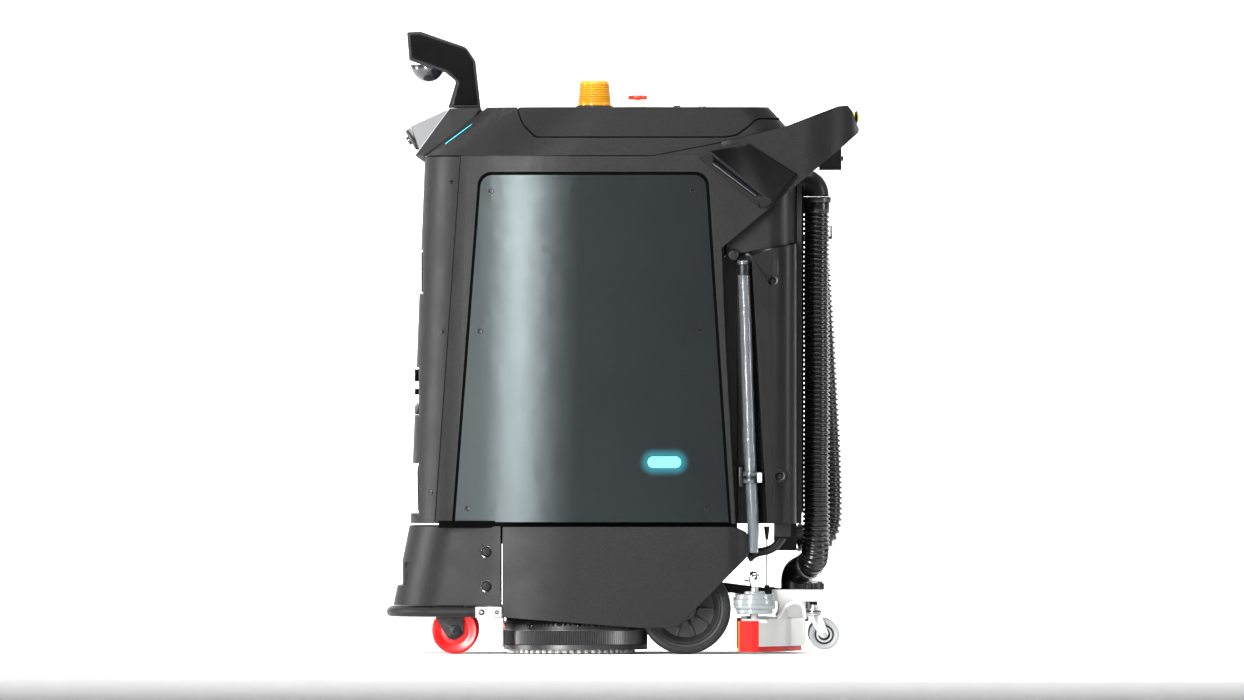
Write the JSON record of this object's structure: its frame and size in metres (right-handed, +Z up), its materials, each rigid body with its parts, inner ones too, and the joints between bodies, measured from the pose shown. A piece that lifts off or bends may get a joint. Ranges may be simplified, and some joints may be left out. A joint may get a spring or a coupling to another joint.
{
  "type": "robotic floor cleaner",
  "caption": "Upright robotic floor scrubber with tapered body shells, push handle, sensor mast, beacon, hinged lid, disc brush deck, curved rear squeegee and corrugated hoses.",
  "frame": {"origin": "on the floor under the middle of the machine", "axes": "+Z up, -X towards the front, +Y to the machine's right"},
  "size_m": [0.9972, 0.7574, 1.3114],
  "materials": {
    "charcoal_casing": "fine spark texture, satin",
    "dark_metal": "satin black coat",
    "panel_metal": "brushed, anodised grey",
    "light_metal": "light grey coat",
    "screw_steel": "black oxide",
    "cyan_lamp": "lit diffuser",
    "black_gloss": "polished optics",
    "dark_tank": "blow moulded",
    "inner_black": "plain",
    "black_fittings": "semi gloss",
    "clear_tube": "clear vinyl",
    "hose_rubber": "corrugated",
    "cable_steel": "black coated",
    "amber_lens": "tinted ribbed lens",
    "switch_plates": "mixed fittings",
    "stop_red": "moulded",
    "button_black": "moulded",
    "bright_chrome": "plated",
    "signal_yellow": "moulded",
    "bumper_rubber": "satin tube",
    "red_wheel": "polyurethane",
    "drive_tyre": "rubber tread",
    "brush_plastic": "bristle block",
    "white_coat": "powder coat",
    "blade_red": "polyurethane",
    "roller_grey": "moulded",
    "grey_tread": "soft tread"
  },
  "bodies": {
    "root": {"chassis_frame": "dark_metal", "front_skirt": "charcoal_casing", "nose_cover": "charcoal_casing", "side_shell_left": "charcoal_casing", "side_shell_right": "charcoal_casing", "push_handle": "charcoal_casing", "top_shell": "charcoal_casing", "side_panel_left": "panel_metal", "side_panel_right": "panel_metal", "screws": "screw_steel", "led_lenses": "cyan_lamp", "head_housing": "charcoal_casing", "head_camera": "light_metal", "sensor_arm": "charcoal_casing", "sensor_optics": "black_gloss", "side_pods": "charcoal_casing", "recovery_tank": "charcoal_casing", "solution_tank": "dark_tank", "battery_pack": "inner_black", "vacuum_motor": "charcoal_casing", "control_unit": "inner_black", "drive_motors": "dark_metal", "bumper_clamps": "light_metal", "rear_control_box": "inner_black", "plumbing": "black_fittings", "level_tube": "clear_tube", "drain_hose": "hose_rubber", "drain_plug": "black_fittings", "suction_hose": "hose_rubber", "lift_cable": "cable_steel"},
    "lid": {"lid": "charcoal_casing", "beacon_lens": "amber_lens", "lid_fittings": "switch_plates"},
    "estop": {"estop_head": "stop_red"},
    "start": {"start_button": "button_black"},
    "key": {"key_switch": "bright_chrome"},
    "handle_release": {"handle_button": "signal_yellow"},
    "skirt_left": {"side_skirt_left": "charcoal_casing"},
    "skirt_right": {"side_skirt_right": "charcoal_casing"},
    "bumper": {"bumper_bar": "bumper_rubber"},
    "deck": {"brush_deck": "dark_metal", "brush_skirt": "bumper_rubber"},
    "squeegee_arm": {"squeegee_arm": "dark_metal"},
    "squeegee": {"squeegee_frame": "white_coat", "squeegee_blade": "blade_red", "suction_port": "black_fittings"},
    "caster_left": {"caster_fork_left": "inner_black"},
    "caster_wheel_left": {"caster_wheel_left": "red_wheel"},
    "drive_wheel_left": {"drive_wheel_left": "drive_tyre"},
    "brush_left": {"brush_left": "brush_plastic"},
    "roller_left": {"roller_left": "roller_grey"},
    "squeegee_caster_left": {"squeegee_fork_left": "white_coat"},
    "squeegee_wheel_left": {"squeegee_wheel_left": "grey_tread"},
    "caster_right": {"caster_fork_right": "inner_black"},
    "caster_wheel_right": {"caster_wheel_right": "red_wheel"},
    "drive_wheel_right": {"drive_wheel_right": "drive_tyre"},
    "brush_right": {"brush_right": "brush_plastic"},
    "roller_right": {"roller_right": "roller_grey"},
    "squeegee_caster_right": {"squeegee_fork_right": "white_coat"},
    "squeegee_wheel_right": {"squeegee_wheel_right": "grey_tread"}
  },
  "joints": [
    {"name": "lid_hinge", "type": "hinge", "parent": "root", "child": "lid", "pos_m": [-0.2185, 0, 1.147], "axis": [0, -1, 0], "range_deg": [0, 75]},
    {"name": "estop_press", "type": "slide", "parent": "lid", "child": "estop", "axis": [0, 0, -1], "range_m": [0, 0.004], "stiffness_N_per_m": 800},
    {"name": "start_press", "type": "slide", "parent": "lid", "child": "start", "axis": [0, 0, -1], "range_m": [0, 0.0015], "stiffness_N_per_m": 500},
    {"name": "key_turn", "type": "hinge", "parent": "lid", "child": "key", "pos_m": [0.1665, 0, 1.152], "axis": [0, 0, 1], "range_deg": [0, 90]},
    {"name": "handle_press", "type": "slide", "parent": "root", "child": "handle_release", "axis": [-1, 0, 0], "range_m": [0, 0.004], "stiffness_N_per_m": 500},
    {"name": "skirt_left_hinge", "type": "hinge", "parent": "root", "child": "skirt_left", "pos_m": [0, -0.3105, 0.262], "axis": [-1, 0, 0], "range_deg": [0, 70]},
    {"name": "skirt_right_hinge", "type": "hinge", "parent": "root", "child": "skirt_right", "pos_m": [0, 0.3105, 0.262], "axis": [1, 0, 0], "range_deg": [0, 70]},
    {"name": "bumper_slide", "type": "slide", "parent": "root", "child": "bumper", "axis": [1, 0, 0], "range_m": [0, 0.01], "stiffness_N_per_m": 2500},
    {"name": "caster_left_swivel", "type": "hinge", "parent": "root", "child": "caster_left", "pos_m": [-0.367, -0.19, 0.1], "axis": [0, 0, 1], "continuous": true},
    {"name": "caster_left_roll", "type": "hinge", "parent": "caster_left", "child": "caster_wheel_left", "pos_m": [-0.354, -0.19, 0.0493], "axis": [0, 1, 0], "continuous": true},
    {"name": "drive_left_roll", "type": "hinge", "parent": "root", "child": "drive_wheel_left", "pos_m": [0.13, -0.251, 0.096], "axis": [0, 1, 0], "continuous": true},
    {"name": "caster_right_swivel", "type": "hinge", "parent": "root", "child": "caster_right", "pos_m": [-0.367, 0.19, 0.1], "axis": [0, 0, 1], "continuous": true},
    {"name": "caster_right_roll", "type": "hinge", "parent": "caster_right", "child": "caster_wheel_right", "pos_m": [-0.354, 0.19, 0.0493], "axis": [0, 1, 0], "continuous": true},
    {"name": "drive_right_roll", "type": "hinge", "parent": "root", "child": "drive_wheel_right", "pos_m": [0.13, 0.251, 0.096], "axis": [0, 1, 0], "continuous": true},
    {"name": "deck_lift", "type": "slide", "parent": "root", "child": "deck", "axis": [0, 0, 1], "range_m": [0, 0.04]},
    {"name": "brush_left_spin", "type": "hinge", "parent": "deck", "child": "brush_left", "pos_m": [-0.1097, -0.14, 0.04], "axis": [0, 0, 1], "continuous": true},
    {"name": "brush_right_spin", "type": "hinge", "parent": "deck", "child": "brush_right", "pos_m": [-0.1097, 0.14, 0.04], "axis": [0, 0, 1], "continuous": true},
    {"name": "squeegee_lift", "type": "hinge", "parent": "root", "child": "squeegee_arm", "pos_m": [0.075, 0, 0.15], "axis": [0, -1, 0], "range_deg": [0, 8], "deforming": ["suction_hose", "lift_cable"]},
    {"name": "squeegee_swing", "type": "hinge", "parent": "squeegee_arm", "child": "squeegee", "pos_m": [0.31, 0, 0.12], "axis": [0, 0, 1], "range_deg": [-5, 5]},
    {"name": "roller_left_spin", "type": "hinge", "parent": "squeegee", "child": "roller_left", "pos_m": [0.2753, -0.335, 0.1], "axis": [0, 0, 1], "continuous": true},
    {"name": "squeegee_caster_left_swivel", "type": "hinge", "parent": "squeegee", "child": "squeegee_caster_left", "pos_m": [0.4, -0.235, 0.1], "axis": [0, 0, 1], "continuous": true},
    {"name": "squeegee_wheel_left_roll", "type": "hinge", "parent": "squeegee_caster_left", "child": "squeegee_wheel_left", "pos_m": [0.422, -0.235, 0.0414], "axis": [0, 1, 0], "continuous": true},
    {"name": "roller_right_spin", "type": "hinge", "parent": "squeegee", "child": "roller_right", "pos_m": [0.2753, 0.335, 0.1], "axis": [0, 0, 1], "continuous": true},
    {"name": "squeegee_caster_right_swivel", "type": "hinge", "parent": "squeegee", "child": "squeegee_caster_right", "pos_m": [0.4, 0.235, 0.1], "axis": [0, 0, 1], "continuous": true},
    {"name": "squeegee_wheel_right_roll", "type": "hinge", "parent": "squeegee_caster_right", "child": "squeegee_wheel_right", "pos_m": [0.422, 0.235, 0.0414], "axis": [0, 1, 0], "continuous": true}
  ]
}
